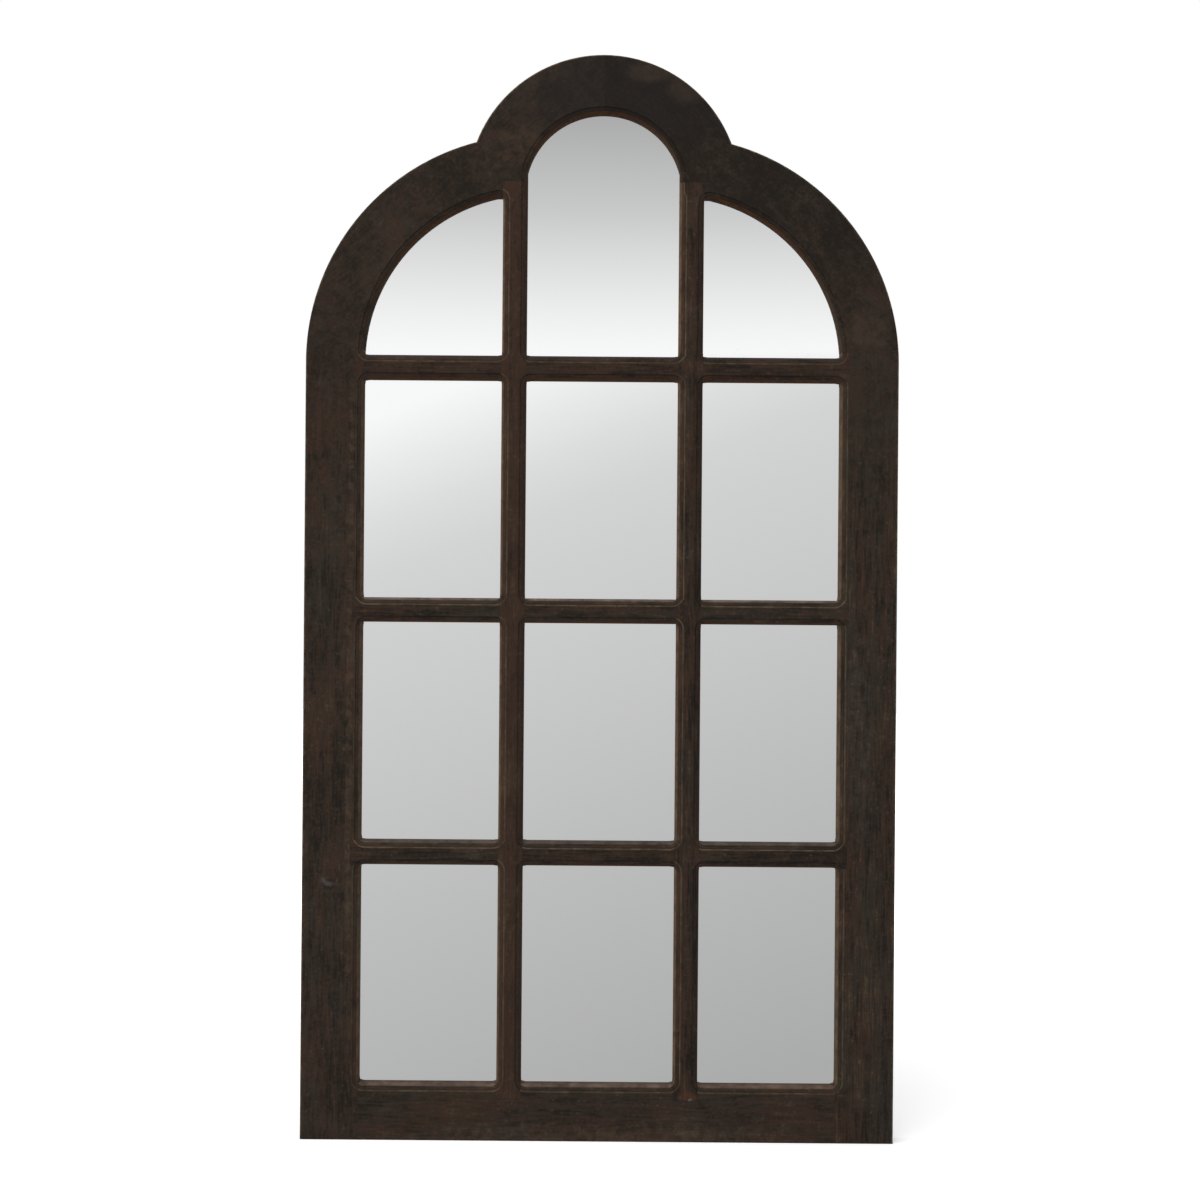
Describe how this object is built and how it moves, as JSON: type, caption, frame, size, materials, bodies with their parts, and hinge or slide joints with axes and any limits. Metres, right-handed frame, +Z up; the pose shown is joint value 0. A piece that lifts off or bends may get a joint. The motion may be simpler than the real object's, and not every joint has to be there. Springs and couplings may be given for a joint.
{
  "type": "arched window-pane wall mirror",
  "caption": "Tall wall mirror like an arched window: a dark stained timber frame with a raised round crown, moulded glazing bars, separate mirror panes and hanging rings behind.",
  "frame": {"origin": "middle of the flat foot of the frame, halfway through its thickness", "axes": "+X to the right as seen from the front, +Z up, the mirror faces -Y"},
  "size_m": [0.6, 0.0265, 1.0994],
  "materials": {
    "stained_timber": "dark brown stain, brushed, satin, worn lighter at the edges",
    "mirror": "silvered glass",
    "board": "raw hardboard",
    "dowel": "raw beech",
    "screw_steel": "zinc plated",
    "hanger_steel": "zinc plated",
    "bumper": "matt"
  },
  "bodies": {
    "mirror": {"arch_dowels": "dowel", "backing_board": "board", "backing_screws": "screw_steel", "bottom_rail": "stained_timber", "corner_dowels": "dowel", "crown_dowels": "dowel", "hanger_screws": "screw_steel", "left_arch_half": "stained_timber", "left_hanger_strap": "hanger_steel", "left_stile": "stained_timber", "left_upright_bar": "stained_timber", "left_wall_bumper": "bumper", "lower_cross_bar": "stained_timber", "middle_cross_bar": "stained_timber", "mirror_arch_centre": "mirror", "mirror_arch_left": "mirror", "mirror_arch_right": "mirror", "mirror_bottom_centre": "mirror", "mirror_bottom_left": "mirror", "mirror_bottom_right": "mirror", "mirror_middle_centre": "mirror", "mirror_middle_left": "mirror", "mirror_middle_right": "mirror", "mirror_upper_centre": "mirror", "mirror_upper_left": "mirror", "mirror_upper_right": "mirror", "right_arch_half": "stained_timber", "right_hanger_strap": "hanger_steel", "right_stile": "stained_timber", "right_upright_bar": "stained_timber", "right_wall_bumper": "bumper", "upper_cross_bar": "stained_timber"},
    "left_ring": {"left_hanger_ring": "hanger_steel"},
    "right_ring": {"right_hanger_ring": "hanger_steel"}
  },
  "joints": [
    {"name": "left_ring_hinge", "type": "hinge", "parent": "mirror", "child": "left_ring", "pos_m": [-0.2802, 0.013, 0.76], "axis": [1, 0, 0], "range_deg": [0, 180]},
    {"name": "right_ring_hinge", "type": "hinge", "parent": "mirror", "child": "right_ring", "pos_m": [0.2802, 0.013, 0.76], "axis": [1, 0, 0], "range_deg": [0, 180]}
  ]
}
